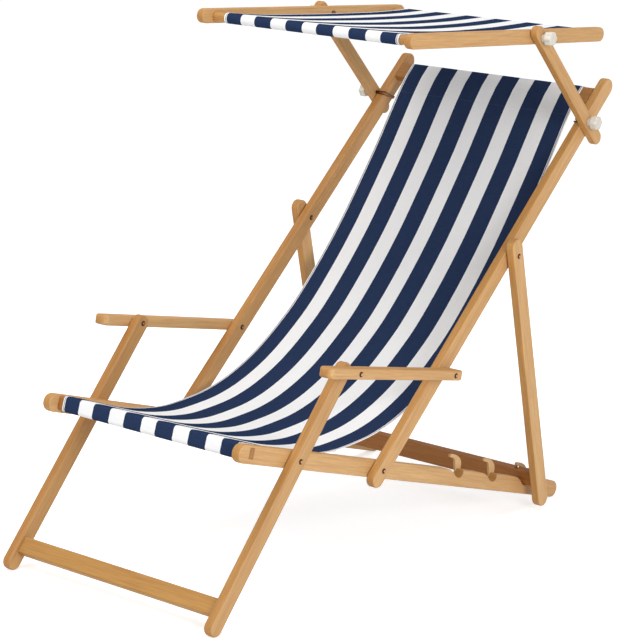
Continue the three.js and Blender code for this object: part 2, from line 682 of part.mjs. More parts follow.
// A bolt whose flat round head bears on the canopy rail's inner face.
function railBolt() {
  const headFrom = railInner - SEAT_GAP - RIVET_HEAD;
  return join(pin(at(0, 0), BOLT_R, headFrom, boltEnd), [
    pin(at(0, 0), RIVET_HEAD_R + HOLE_PLAY, headFrom, headFrom + RIVET_HEAD),
  ]);
}
addMirrored('canopy_bolt', railBolt(), bronze, canopyBolt, 0, 0);

function knob() {
  const steps = KNOB_LOBES * LOBE_STEPS;
  const valley = KNOB_R * KNOB_WAIST_SHARE;
  const outline = Array.from({ length: steps }, (_, i) => {
    const turn = (i / steps) * Math.PI * DOUBLE;
    const lobe = (WHOLE + Math.cos(turn * KNOB_LOBES)) * HALF;
    const radius = valley + (KNOB_R - valley) * lobe;
    return at(radius * Math.cos(turn), radius * Math.sin(turn));
  });
  const star = plate(outline, KNOB_HEIGHT - KNOB_NECK, EDGE);
  star.translate(0, 0, KNOB_NECK);
  const neck = pin(at(0, 0), KNOB_NECK_R, 0, KNOB_NECK + EDGE);
  const body = join(star, [neck]);
  return cut(body, [pin(at(0, 0), boltHole, -OVERRUN, KNOB_BORE_DEPTH)]);
}
const knobInner = armOuter + SEAT_GAP;
addMirrored('knob_lower', knob(), ivory, clampPoint, 0, knobInner);
addMirrored('knob_upper', knob(), ivory, canopyBolt, 0, knobInner);

// ---- canopy frame ----
const canopyBarRound = CANOPY_BAR * CANOPY_BAR_ROUND_SHARE;
const frontBarPlace = at(-BOLT_TO_FRONT_BAR, -CANOPY_BAR_DROP);
const rearBarPlace = at(BOLT_TO_REAR_BAR, -CANOPY_BAR_DROP);
const canopyTenon = CANOPY_BAR * TENON_HEIGHT_SHARE;

function canopyRail() {
  const radius = RAIL_WIDTH * HALF;
  const board = plate(roundEnded(-RAIL_FRONT + radius, RAIL_REAR - radius, RAIL_WIDTH), RAIL_BOARD, EDGE);
  return cut(board, [
    hole(0, 0, boltHole, RAIL_BOARD),
    mortise(frontBarPlace.x, frontBarPlace.y, canopyTenon, canopyTenon, TENON_DEPTH),
    mortise(rearBarPlace.x, rearBarPlace.y, canopyTenon, canopyTenon, TENON_DEPTH),
  ]);
}
addMirrored('canopy_rail', canopyRail(), beech, canopyBolt, RAIL_ANGLE, railInner);

const canopyBar = () => crossPiece(
  roundedBox(CANOPY_BAR, CANOPY_BAR, canopyBarRound, WRAP_STEPS), railInner - SEAT_GAP,
  canopyTenon, canopyTenon, railInner + TENON_DEPTH, 0,
);
const onCanopy = (place) => place.clone().rotateAround(at(0, 0), RAIL_ANGLE * DEG).add(canopyBolt);
add('canopy_front_bar', canopyBar(), beech, onCanopy(frontBarPlace), RAIL_ANGLE, 0);
add('canopy_rear_bar', canopyBar(), beech, onCanopy(rearBarPlace), RAIL_ANGLE, 0);

// ---- cloth ----
// Turns a middle line into a closed strip of the cloth's thickness.
function strip(line) {
  const upper = [];
  const lower = [];
  line.forEach((point, i) => {
    const before = line[Math.max(0, i - 1)];
    const after = line[Math.min(line.length - 1, i + 1)];
    const side = leftOf(after.clone().sub(before).normalize()).multiplyScalar(CLOTH * HALF);
    upper.push(point.clone().add(side));
    lower.push(point.clone().sub(side));
  });
  return [...lower, ...upper.reverse()];
}

// A line round part of a bar, clockwise between two places given in quarter turns.
function wrap(middle, degrees, width, height, radius, fromTurn, toTurn) {
  const reach = radius + SEAT_GAP + CLOTH * HALF;
  const halfX = width * HALF - radius;
  const halfY = height * HALF - radius;
  const corners = [[halfX, halfY], [-halfX, halfY], [-halfX, -halfY], [halfX, -halfY]];
  const points = [];
  for (let corner = Math.ceil(fromTurn) - 1; corner >= Math.floor(toTurn); corner -= 1) {
    const [x, y] = corners[(corner + corners.length) % corners.length];
    for (let i = WRAP_STEPS; i >= 0; i -= 1) {
      const turn = corner + i / WRAP_STEPS;
      if (turn <= fromTurn && turn >= toTurn) {
        const angle = turn * Math.PI * HALF;
        points.push(at(x + reach * Math.cos(angle), y + reach * Math.sin(angle)));
      }
    }
  }
  return points.map((p) => p.rotateAround(at(0, 0), degrees * DEG).add(middle));
}

// A smooth line through points given as shares of the way between two ends and of a sag.
function saggingLine(from, to, sag, shares, steps) {
  const chord = to.clone().sub(from);
  const down = leftOf(chord.clone().normalize()).negate();
  const points = shares.map(([t, s]) => from.clone().addScaledVector(chord, t).addScaledVector(down, s * sag));
  return new THREE.SplineCurve([from, ...points, to]).getSpacedPoints(steps);
}

// Cloth round a front bar, hanging to a rear bar and round that.
function hungCloth(frontWrap, rearWrap, sag, shares, steps, half) {
  const middle = saggingLine(frontWrap.at(-1), rearWrap[0], sag, shares, steps);
  const line = [...frontWrap.slice(0, -1), ...middle, ...rearWrap.slice(1)];
  const geometry = plate(strip(line), half * DOUBLE, 0);
  geometry.translate(0, 0, -half);
  return geometry;
}

function sling() {
  const round = wrap(
    frontBarPoint, SEAT_ANGLE, FRONT_BAR_THICK, FRONT_BAR_HEIGHT, frontBarRound, HEM_START, TOP_LEAVE,
  );
  const head = wrap(
    topBarPoint, BACK_ANGLE, TOP_BAR_HEIGHT, TOP_BAR_THICK, topBarRound, TOP_ARRIVE, HEM_END,
  );
  return hungCloth(round, head, SLING_SAG, slingCurveShares, SLING_STEPS, slingHalf);
}
add('sling', sling(), cloth, at(0, 0), 0, 0);

function canopyCloth() {
  const front = wrap(frontBarPlace, 0, CANOPY_BAR, CANOPY_BAR, canopyBarRound, HEM_START, TOP_LEAVE);
  const rear = wrap(rearBarPlace, 0, CANOPY_BAR, CANOPY_BAR, canopyBarRound, TOP_ARRIVE, HEM_END);
  return hungCloth(front, rear, CANOPY_SAG, canopyCurveShares, CANOPY_STEPS, canopyHalf);
}
add('canopy_cloth', canopyCloth(), cloth, canopyBolt, RAIL_ANGLE, 0);

// The origin is the middle of the footprint, on the floor.
model.updateMatrixWorld(true);
const bounds = new THREE.Box3().setFromObject(model, true);
const centre = bounds.getCenter(new THREE.Vector3());
model.position.set(-centre.x, -centre.y, -bounds.min.z);
model.updateMatrixWorld(true);

export default model;
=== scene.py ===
import json
import math

import bpy
from mathutils import Matrix, Vector


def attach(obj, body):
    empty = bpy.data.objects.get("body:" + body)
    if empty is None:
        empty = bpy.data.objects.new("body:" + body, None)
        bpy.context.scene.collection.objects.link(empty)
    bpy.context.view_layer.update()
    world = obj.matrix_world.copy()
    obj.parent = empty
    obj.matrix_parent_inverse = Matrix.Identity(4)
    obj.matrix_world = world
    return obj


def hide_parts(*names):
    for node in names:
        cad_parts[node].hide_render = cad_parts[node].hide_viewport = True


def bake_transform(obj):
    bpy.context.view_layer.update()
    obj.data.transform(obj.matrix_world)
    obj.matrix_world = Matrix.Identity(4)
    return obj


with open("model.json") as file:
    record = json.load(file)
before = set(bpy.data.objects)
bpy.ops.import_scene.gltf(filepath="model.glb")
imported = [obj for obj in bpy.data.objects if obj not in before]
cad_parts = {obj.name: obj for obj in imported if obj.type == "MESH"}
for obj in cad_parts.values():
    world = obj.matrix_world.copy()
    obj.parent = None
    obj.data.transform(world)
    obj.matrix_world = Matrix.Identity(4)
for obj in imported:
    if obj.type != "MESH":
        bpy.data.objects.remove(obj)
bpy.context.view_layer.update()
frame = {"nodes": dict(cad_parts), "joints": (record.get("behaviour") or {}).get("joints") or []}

NODES = frame["nodes"]

# The photograph's camera, in the part's frame, in metres and degrees
CAM_PLACE = (2.9060, -3.6168, 1.5703)
CAM_AZIMUTH = 39.046
CAM_ELEVATION = 13.831
CAM_ROLL = 1.452
IMAGE_HEIGHT = 640
FOCAL_PIXELS = 2408.7
SENSOR = 36.0  # millimetres
CAM_REACH = 200.0

# Sizes repeated from the part's source, in metres and degrees
SEAT_ANGLE = -16.559909
LEG_ANGLE = 49.3
ARM_ANGLE = 134.2
RAIL_ANGLE = -3.35
# These three are an earlier draft's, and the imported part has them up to 0.007 degrees larger.
BACK_ANGLE = 42.570322
PROP_ANGLE = 103.780783
ARMREST_ANGLE = -11.422127
CLOTH = 0.0012
SEAT_GAP = 0.0003
SLING_HALF = 0.220
CANOPY_HALF = 0.215
CLOTH_SHOWN = 0.0010  # thickness of the sheets that replace the solid cloth


def joint_pivot(name):
    """A joint's pivot in the side view, Y and Z."""
    for joint in frame["joints"]:
        if joint["name"] == name:
            return Vector(joint["pos_m"][1:])
    raise ValueError(name)


SEAT_RIVET = joint_pivot("leg_fold")
BACK_RIVET = joint_pivot("back_raise")
CANOPY_BOLT = joint_pivot("canopy_tilt")


# Material helpers
def new_material(name):
    mat = bpy.data.materials.new(name)
    mat.use_nodes = True
    tree = mat.node_tree
    tree.nodes.clear()
    out = tree.nodes.new("ShaderNodeOutputMaterial")
    shader = tree.nodes.new("ShaderNodeBsdfPrincipled")
    tree.links.new(shader.outputs[0], out.inputs[0])
    return mat, tree, shader


BEVEL_SAMPLES = 4


class Net:
    """Short ways to add nodes to one tree."""

    def __init__(self, tree):
        self.tree = tree

    def node(self, kind, **settings):
        made = self.tree.nodes.new(kind)
        for key, value in settings.items():
            setattr(made, key, value)
        return made

    def link(self, a, b):
        self.tree.links.new(a, b)

    def math(self, operation, a, b=None):
        made = self.node("ShaderNodeMath", operation=operation)
        for socket, value in zip(made.inputs, (a, b)):
            if value is None:
                continue
            if isinstance(value, (int, float)):
                socket.default_value = value
            else:
                self.link(value, socket)
        return made.outputs[0]

    def mix(self, factor, a, b, blend="MIX"):
        made = self.node("ShaderNodeMix", data_type="RGBA", blend_type=blend)
        for socket, value in ((made.inputs[0], factor), (made.inputs[6], a), (made.inputs[7], b)):
            if isinstance(value, (int, float)):
                socket.default_value = value
            elif isinstance(value, tuple):
                socket.default_value = (*value, 1.0)
            else:
                self.link(value, socket)
        return made.outputs[2]

    def scaled(self, value, factor):
        return self.math("MULTIPLY", value, factor)

    def toward(self, colour, tone, mask, amount):
        """The colour, drawn towards a tone by an amount where the mask is 1."""
        return self.mix(self.scaled(mask, amount), colour, tone)

    def ramp(self, value, *stops):
        made = self.node("ShaderNodeValToRGB")
        bands = made.color_ramp.elements
        while len(bands) < len(stops):
            bands.new(0.5)
        for band, (place, level) in zip(bands, stops):
            band.position = place
            band.color = (level, level, level, 1.0)
        self.link(value, made.inputs[0])
        return made.outputs[0]

    def noise(self, vector, scale, detail=3.0, rough=0.5, distortion=0.0):
        made = self.node("ShaderNodeTexNoise")
        self.link(vector, made.inputs["Vector"])
        made.inputs["Scale"].default_value = scale
        made.inputs["Detail"].default_value = detail
        made.inputs["Roughness"].default_value = rough
        made.inputs["Distortion"].default_value = distortion
        return made.outputs["Fac"]

    def mapping(self, vector, scale=(1, 1, 1), turn=(0, 0, 0), place=(0, 0, 0)):
        made = self.node("ShaderNodeMapping")
        made.inputs["Scale"].default_value = scale
        made.inputs["Rotation"].default_value = turn
        made.inputs["Location"].default_value = place
        self.link(vector, made.inputs["Vector"])
        return made.outputs[0]

    def rounded(self, radius):
        """The normal as it would be with the edges rounded off."""
        made = self.node("ShaderNodeBevel", samples=BEVEL_SAMPLES)
        made.inputs["Radius"].default_value = radius
        return made.outputs[0]

    def sideways(self):
        """How far the surface faces left or right, from 0 to 1."""
        normal = self.node("ShaderNodeSeparateXYZ")
        self.link(self.node("ShaderNodeNewGeometry").outputs["Normal"], normal.inputs[0])
        return self.math("ABSOLUTE", normal.outputs[0])

    def bump(self, height, strength, distance, normal=None):
        made = self.node("ShaderNodeBump")
        made.inputs["Strength"].default_value = strength
        made.inputs["Distance"].default_value = distance
        self.link(height, made.inputs["Height"])
        if normal is not None:
            self.link(normal, made.inputs["Normal"])
        return made.outputs[0]


def set_all(obj, mat):
    obj.data.materials.clear()
    obj.data.materials.append(mat)


# Beech
WOOD_LIGHT = (0.690, 0.425, 0.190)
WOOD_MID = (0.600, 0.345, 0.140)
WOOD_DARK = (0.430, 0.215, 0.075)
WOOD_END = (0.400, 0.205, 0.080)
WOOD_PALE = (0.80, 0.56, 0.30)
WOOD_WORN = (0.76, 0.51, 0.26)
# painted shade, multiplied into the faces that don't face sideways
NARROW_FACE_SHADE = (0.84, 0.715, 0.46)
# Features per metre of each layer of grain, across, along and through a board.
DRIFT_SCALE = (14, 1.6, 14)
WARP_SCALE = (9, 1.3, 9)
BAND_SCALE = (95, 2.6, 95)
STREAK_SCALE = (260, 9, 260)
FIBRE_SCALE = (900, 26, 900)
FLECK_SCALE = (620, 120, 620)
PORE_SCALE = (1500, 1500, 1500)
WORN_SCALE = (90, 22, 90)
# How strongly each layer shows.
BAND_WARP = 6.0
BAND_DEPTH = 0.52
STREAK_DEPTH = 0.50
FIBRE_DEPTH = 0.24
FLECK_DEPTH = 0.32
END_DEPTH = 0.55
WORN_DEPTH = 0.25
WOOD_ARRIS = 0.0022
WOOD_GLOSS = 0.38
WOOD_ROUGH = (0.44, 0.22)  # the least, and what the streaks add
WOOD_RELIEF = 0.00035
CUT_STEP = (0.37, 0.11, 0.23)  # a board's place in the wood, in metres for each unit of its seed


def beech(name, angle, seed, crosswise=False, tint=0.0, shade_and_tone=None):
    """Beech whose grain runs along a board: at an angle in the side view, or across the chair."""
    mat, tree, shader = new_material(name)
    net = Net(tree)
    coords = net.node("ShaderNodeTexCoord")
    base = coords.outputs["Object"]
    # each board is cut from its own place in the wood, and its length is along Y after the turn
    place = tuple(seed * step for step in CUT_STEP)
    if crosswise:
        lie = net.mapping(base, turn=(0, 0, math.radians(90)), place=place)
        axis = (1.0, 0.0, 0.0)
    else:
        lie = net.mapping(base, turn=(-math.radians(angle), 0, 0), place=place)
        axis = (0.0, math.cos(math.radians(angle)), math.sin(math.radians(angle)))

    # slow drift of tone, then growth bands, then fibres, then the short ray flecks
    drift = net.noise(net.mapping(lie, scale=DRIFT_SCALE), 1.0, 2.0, 0.5)
    warp = net.noise(net.mapping(lie, scale=WARP_SCALE), 1.0, 2.0, 0.5)
    stretched = net.mapping(lie, scale=BAND_SCALE)
    bend = net.node("ShaderNodeVectorMath", operation="ADD")
    net.link(stretched, bend.inputs[0])
    push = net.node("ShaderNodeVectorMath", operation="SCALE")
    push.inputs[0].default_value = (1.0, 0.0, 1.0)
    net.link(net.scaled(warp, BAND_WARP), push.inputs["Scale"])
    net.link(push.outputs[0], bend.inputs[1])
    bands = net.noise(bend.outputs[0], 1.6, 4.0, 0.62, 0.4)
    fibres = net.noise(net.mapping(lie, scale=FIBRE_SCALE), 1.0, 2.0, 0.6)
    streaks = net.noise(net.mapping(lie, scale=STREAK_SCALE), 1.0, 3.0, 0.55)
    fleck = net.node("ShaderNodeTexVoronoi")
    net.link(net.mapping(lie, scale=FLECK_SCALE), fleck.inputs["Vector"])
    fleck.inputs["Scale"].default_value = 1.0
    flecks = net.ramp(fleck.outputs["Distance"], (0.10, 1.0), (0.26, 0.0))

    tone = net.ramp(drift, (0.30, 0.0), (0.72, 1.0))
    colour = net.mix(tone, WOOD_LIGHT, WOOD_MID)
    band = net.ramp(bands, (0.40, 0.0), (0.50, 0.55), (0.62, 0.0), (0.74, 0.8))
    streak = net.ramp(streaks, (0.46, 0.0), (0.70, 1.0))
    fibre = net.ramp(fibres, (0.44, 0.0), (0.70, 1.0))
    for mask, depth in (
        (band, BAND_DEPTH), (streak, STREAK_DEPTH), (fibre, FIBRE_DEPTH), (flecks, FLECK_DEPTH),
    ):
        colour = net.toward(colour, WOOD_DARK, mask, depth)

    # end grain is darker, where the surface faces along the board
    facing = net.node("ShaderNodeVectorMath", operation="DOT_PRODUCT")
    net.link(coords.outputs["Normal"], facing.inputs[0])
    facing.inputs[1].default_value = axis
    end = net.ramp(net.math("ABSOLUTE", facing.outputs["Value"]), (0.55, 0.0), (0.95, 1.0))
    pores = net.noise(net.mapping(lie, scale=PORE_SCALE), 1.0, 1.0, 0.5)
    end_tone = net.mix(net.ramp(pores, (0.4, 0.0), (0.65, 1.0)), WOOD_END, WOOD_MID)
    colour = net.toward(colour, end_tone, end, END_DEPTH)

    # painted shade: faces that don't face sideways, a board's narrow edges and every face of a
    # crossbar, are darkened and warmed, as if the light fell mostly from the side
    painted_shade_mask = net.ramp(net.sideways(), (0.35, 1.0), (0.85, 0.0))
    colour = net.mix(painted_shade_mask, colour, NARROW_FACE_SHADE, blend="MULTIPLY")

    # rounded arrises are handled a little paler
    bevel = net.rounded(WOOD_ARRIS)
    edge = net.node("ShaderNodeVectorMath", operation="DOT_PRODUCT")
    net.link(bevel, edge.inputs[0])
    net.link(net.node("ShaderNodeNewGeometry").outputs["True Normal"], edge.inputs[1])
    worn = net.ramp(edge.outputs["Value"], (0.80, 1.0), (0.985, 0.0))
    cloud = net.noise(net.mapping(lie, scale=WORN_SCALE), 1.0, 2.0)
    patch = net.ramp(cloud, (0.42, 0.0), (0.62, 1.0))
    colour = net.toward(colour, WOOD_WORN, net.math("MULTIPLY", worn, patch), WORN_DEPTH)
    if tint:
        colour = net.mix(abs(tint), colour, WOOD_DARK if tint > 0 else WOOD_PALE)
    # painted shade, together with the board's own darker tone, multiplied into the colour
    if shade_and_tone:
        colour = net.mix(1.0, colour, shade_and_tone, blend="MULTIPLY")
    net.link(colour, shader.inputs["Base Color"])

    least, more = WOOD_ROUGH
    net.link(net.math("ADD", least, net.scaled(streaks, more)), shader.inputs["Roughness"])
    shader.inputs["Specular IOR Level"].default_value = WOOD_GLOSS
    relief = net.math("ADD", net.scaled(fibres, 0.6), net.scaled(streaks, 0.5))
    relief = net.math("SUBTRACT", relief, net.scaled(flecks, 0.5))
    net.link(net.bump(relief, 0.35, WOOD_RELIEF, bevel), shader.inputs["Normal"])
    return mat


# Boards that are darker or redder than the others, and by how much: partly their own timber's
# tone, and partly painted shade on boards that lie in shade or face away from the light, such as
# the crossbar under the sling, the far leg and the far back rail.
SHADE_AND_TONE = {
    "prop_crossbar": (0.72, 0.54, 0.37),
    "back_top_bar": (0.72, 0.62, 0.46),
    "seat_front_bar": (0.72, 0.58, 0.44),
    "leg_stretcher": (0.88, 0.88, 0.80),
    "leg_left": (0.91, 0.90, 0.88),
    "leg_right": (0.86, 0.79, 0.68),
    "back_rail_right": (0.90, 0.83, 0.74),
}
SIDE_BOARDS = {
    "seat_rail": SEAT_ANGLE,
    "leg": LEG_ANGLE,
    "back_rail": BACK_ANGLE,
    "prop_leg": PROP_ANGLE,
    "armrest": ARMREST_ANGLE,
    "canopy_arm": ARM_ANGLE,
    "canopy_rail": RAIL_ANGLE,
}
CROSS_BARS = (
    "seat_front_bar", "leg_stretcher", "back_top_bar", "prop_crossbar",
    "canopy_front_bar", "canopy_rear_bar",
)
SIDES = ("left", "right")
SEED_START = 1.0
SEED_STEP = 1.7
BOARD_TINT = 0.05  # the side boards' tones differ from the middle by up to this
TINT_SPREAD = 2.3  # scatters their tones from board to board
BAR_TINT = 0.04
HOOK_TINT = -0.35
HOOK_GRAIN = 70  # degrees from the seat rail's own grain
seed = SEED_START
for stem, angle in SIDE_BOARDS.items():
    for side in SIDES:
        seed += SEED_STEP
        name = f"{stem}_{side}"
        shade = BOARD_TINT * math.sin(seed * TINT_SPREAD)
        wood = beech(f"beech_{name}", angle, seed, tint=shade, shade_and_tone=SHADE_AND_TONE.get(name))
        set_all(NODES[name], wood)
for name in CROSS_BARS:
    seed += SEED_STEP
    wood = beech(
        f"beech_{name}", 0.0, seed, crosswise=True, tint=BAR_TINT, shade_and_tone=SHADE_AND_TONE.get(name)
    )
    set_all(NODES[name], wood)
for number in (1, 2, 3):
    for side in SIDES:
        seed += SEED_STEP
        wood = beech(
            f"beech_hook_{number}_{side}", SEAT_ANGLE + HOOK_GRAIN, seed, tint=HOOK_TINT
        )
        set_all(NODES[f"catch_hook_{number}_{side}"], wood)


# Metal and plastic
IVORY_LIGHT = (0.70, 0.67, 0.60)
IVORY_DARK = (0.62, 0.575, 0.49)
BRONZE_ARRIS = 0.0007
IVORY_ARRIS = 0.0012
FINE_RELIEF = 0.0001


def cloud_and_grain(net, cloud_scale, grain_scale):
    """Slow patches and fine grain, the same in every direction."""
    coords = net.node("ShaderNodeTexCoord").outputs["Object"]
    cloud = net.noise(net.mapping(coords, scale=(cloud_scale,) * 3), 1.0, 3.0, 0.6)
    grain = net.noise(net.mapping(coords, scale=(grain_scale,) * 3), 1.0, 2.0, 0.5)
    return cloud, grain


def bronze(name, bright, dull, shaded_tone):
    mat, tree, shader = new_material(name)
    net = Net(tree)
    cloud, grain = cloud_and_grain(net, 160, 1400)
    colour = net.mix(net.ramp(cloud, (0.35, 0.0), (0.7, 1.0)), bright, dull)
    # painted shade: where the metal turns away from facing sideways, towards a rivet head's rim,
    # its colour goes to the shaded tone, a painted dark ring round the middle of the head, which
    # keeps the metal's own colour
    facing = net.ramp(net.sideways(), (0.90, 0.0), (0.985, 1.0))
    colour = net.mix(facing, shaded_tone, colour)
    net.link(colour, shader.inputs["Base Color"])
    shader.inputs["Metallic"].default_value = 1.0
    net.link(net.math("ADD", 0.24, net.scaled(cloud, 0.26)), shader.inputs["Roughness"])
    relief = net.bump(grain, 0.15, FINE_RELIEF, net.rounded(BRONZE_ARRIS))
    net.link(relief, shader.inputs["Normal"])
    return mat


def ivory():
    mat, tree, shader = new_material("moulded_ivory")
    net = Net(tree)
    cloud, grain = cloud_and_grain(net, 120, 2600)
    colour = net.mix(net.ramp(cloud, (0.35, 0.0), (0.7, 1.0)), IVORY_LIGHT, IVORY_DARK)
    net.link(colour, shader.inputs["Base Color"])
    net.link(net.math("ADD", 0.36, net.scaled(cloud, 0.16)), shader.inputs["Roughness"])
    relief = net.bump(grain, 0.2, FINE_RELIEF, net.rounded(IVORY_ARRIS))
    net.link(relief, shader.inputs["Normal"])
    return mat


RIVETS = bronze("bronzed_rivets", (0.66, 0.35, 0.20), (0.48, 0.23, 0.12), (0.07, 0.032, 0.017))
WIRES = bronze("bronzed_wire", (0.26, 0.120, 0.060), (0.17, 0.075, 0.038), (0.15, 0.065, 0.033))
IVORY = ivory()
for name, obj in NODES.items():
    if name.startswith("rivet"):
        set_all(obj, RIVETS)
    elif name.startswith(("clamp_wire", "canopy_bolt", "prop_washer")):
        set_all(obj, WIRES)
    elif name.startswith("knob"):
        set_all(obj, IVORY)


# Striped canvas
NAVY = (0.0190, 0.0335, 0.080)
NAVY_WORN = (0.0260, 0.0430, 0.099)
WHITE = (0.89, 0.89, 0.89)
WHITE_DULL = (0.85, 0.85, 0.85)
WHITE_FADED = (0.82, 0.82, 0.83)
FADE_DEPTH = 0.25
THREAD_PALE = (0.55, 0.57, 0.62)
THREAD_PALE_DEPTH = 0.04
THREAD_GAP = (0.10, 0.11, 0.16)
THREAD_GAP_DEPTH = 0.12
STITCH_PITCH = 0.0032
STITCH_GAP = 0.3  # share of the pitch
STITCH_WIDTH = 0.0005  # to either side of the row's middle
THREADS = 1250  # per metre
THREAD_DRIFT = 45  # changes of a thread's thickness, per metre
EDGE_WANDER = 0.0006
CANVAS_ROUGH = (0.78, 0.16)
CANVAS_RELIEF = 0.0003
# Where the colour changes, in metres from the middle out: six edges of stripes, then the two
# edges of a blue line in the white border.
SLING_EDGES = (0.0178, 0.0615, 0.0993, 0.1418, 0.1780, 0.2145, 0.2162, 0.2175)
CANOPY_EDGES = (0.0174, 0.0586, 0.0962, 0.1372, 0.1722, 0.2085, 0.2102, 0.2114)


def canvas(name, edges, seams):
    """Woven stripes from the UV map in metres: U from the middle out, V along the cloth."""
    mat, tree, shader = new_material(name)
    net = Net(tree)
    uv = net.node("ShaderNodeUVMap", uv_map="cloth").outputs[0]
    split = net.node("ShaderNodeSeparateXYZ")
    net.link(uv, split.inputs[0])
    u, v = split.outputs[0], split.outputs[1]
    wobble = net.noise(net.mapping(uv, scale=(60, 60, 1)), 1.0, 3.0, 0.6)
    shift = net.scaled(net.math("SUBTRACT", wobble, 0.5), EDGE_WANDER)
    across = net.math("ABSOLUTE", net.math("ADD", u, shift))
    navy = None
    for place in edges:
        step = net.math("GREATER_THAN", across, place)
        navy = step if navy is None else net.math("ABSOLUTE", net.math("SUBTRACT", navy, step))

    # threads: fine plain weave, irregular in thickness
    warp = net.noise(net.mapping(uv, scale=(THREADS, THREAD_DRIFT, 1)), 1.0, 1.0, 0.5)
    weft = net.noise(net.mapping(uv, scale=(THREAD_DRIFT, THREADS, 1)), 1.0, 1.0, 0.5)
    weave = net.math("ADD", net.scaled(warp, 0.5), net.scaled(weft, 0.5))
    fade = net.noise(net.mapping(uv, scale=(7, 5, 1)), 1.0, 4.0, 0.6)
    thick = net.ramp(weave, (0.35, 0.0), (0.65, 1.0))
    blue = net.mix(thick, NAVY, NAVY_WORN)
    pale = net.mix(thick, WHITE_DULL, WHITE)
    pale = net.toward(pale, WHITE_FADED, net.ramp(fade, (0.4, 0.0), (0.7, 1.0)), FADE_DEPTH)
    colour = net.mix(navy, pale, blue)

    # a row of stitches across the cloth at each seam, close to the stripes' colours, and pulled
    # slightly into it
    stitches = None
    for seam in seams:
        away = net.math("ABSOLUTE", net.math("SUBTRACT", v, seam))
        line = net.math("LESS_THAN", away, STITCH_WIDTH)
        stitches = line if stitches is None else net.math("MAXIMUM", stitches, line)
    phase = net.math("FRACT", net.scaled(u, 1.0 / STITCH_PITCH))
    thread = net.math("MULTIPLY", stitches, net.math("GREATER_THAN", phase, STITCH_GAP))
    gap = net.math("SUBTRACT", stitches, thread)
    colour = net.toward(colour, THREAD_PALE, thread, THREAD_PALE_DEPTH)
    colour = net.toward(colour, THREAD_GAP, gap, THREAD_GAP_DEPTH)
    net.link(colour, shader.inputs["Base Color"])

    least, more = CANVAS_ROUGH
    net.link(net.math("ADD", least, net.scaled(weave, more)), shader.inputs["Roughness"])
    shader.inputs["Specular IOR Level"].default_value = 0.0
    relief = net.math("SUBTRACT", weave, net.scaled(gap, 1.5))
    net.link(net.bump(relief, 0.5, CANVAS_RELIEF), shader.inputs["Normal"])
    return mat


# Cloth shapes, in the side view
LIFT = SEAT_GAP + CLOTH / 2  # from a bar's face to the middle of the cloth
WRAP_STEPS = 8  # at each corner of a bar
CURVE_STEPS = 12  # between two points of a hanging line
TURN_STEPS = 6  # between a wrap and its hem
LINE_STEP = 0.008
COLUMNS = 48
HEM = 0.045
HEM_NEAR = 0.016  # from the bar to where the hem lies flat
HEM_TURN = 0.004  # from the hem's end to its row of stitches
HEM_CLEAR = 0.0014  # from the middle of the cloth to the middle of the hem


def heading(degrees):
    return Vector((math.cos(math.radians(degrees)), math.sin(math.radians(degrees))))


def turned(p, degrees):
    c, s = math.cos(math.radians(degrees)), math.sin(math.radians(degrees))
    return Vector((p.x * c - p.y * s, p.x * s + p.y * c))


def square_to(direction):
    """A quarter turn anticlockwise from the direction."""
    return Vector((-direction.y, direction.x))


def wrap(middle, degrees, size, turns):
    """Clockwise round a rounded bar, between two places given in quarter turns.

    The bar's size is its width, its height and the radius of its corners.
    """
    width, height, radius = size
    from_turn, to_turn = turns
    reach = radius + LIFT
    hx, hy = width / 2 - radius, height / 2 - radius
    corners = ((hx, hy), (-hx, hy), (-hx, -hy), (hx, -hy))
    points = []
    for corner in range(math.ceil(from_turn) - 1, math.floor(to_turn) - 1, -1):
        x, y = corners[corner % 4]
        for i in range(WRAP_STEPS, -1, -1):
            turn = corner + i / WRAP_STEPS
            if to_turn <= turn <= from_turn:
                a = turn * math.pi / 2
                points.append(Vector((x + reach * math.cos(a), y + reach * math.sin(a))))
    return [turned(p, degrees) + middle for p in points]


def catmull(points, per):
    """A smooth line through the points."""
    out = []
    n = len(points)
    for i in range(n - 1):
        p0 = points[i - 1] if i > 0 else points[0]
        p1, p2 = points[i], points[i + 1]
        p3 = points[i + 2] if i + 2 < n else points[-1]
        v0, v1 = (p2 - p0) * 0.5, (p3 - p1) * 0.5
        for k in range(per):
            t = k / per
            cubic = (2 * p1 - 2 * p2 + v0 + v1) * t ** 3
            square = (-3 * p1 + 3 * p2 - 2 * v0 - v1) * t ** 2
            out.append(cubic + square + v0 * t + p1)
    out.append(points[-1].copy())
    return out


def respaced(points, step):
    """The same line with even steps."""
    lengths = travelled_along(points)
    total = lengths[-1]
    count = max(2, round(total / step))
    out = []
    j = 0
    for i in range(count + 1):
        want = total * i / count
        while j < len(points) - 2 and lengths[j + 1] < want:
            j += 1
        span = lengths[j + 1] - lengths[j]
        share = (want - lengths[j]) / span if span > 0 else 0.0
        out.append(points[j].lerp(points[j + 1], min(1.0, max(0.0, share))))
    return out


def sagging(start, end, sag, shares):
    """A line from start to end, whose points hang below the chord by shares of the sag."""
    chord = end - start
    down = Vector((chord.y, -chord.x)).normalized()
    points = [start] + [start + chord * t + down * (s * sag) for t, s in shares] + [end]
    return catmull(points, CURVE_STEPS)


def normals_of(points):
    out = []
    for i in range(len(points)):
        a, b = points[max(0, i - 1)], points[min(len(points) - 1, i + 1)]
        out.append(square_to((b - a).normalized()))
    return out


def offset_line(points, by):
    return [p + normal * by for p, normal in zip(points, normals_of(points))]


def travelled_along(points):
    """How far along the line each point lies."""
    out = [0.0]
    for a, b in zip(points, points[1:]):
        out.append(out[-1] + (b - a).length)
    return out


def length_of(points):
    return travelled_along(points)[-1]


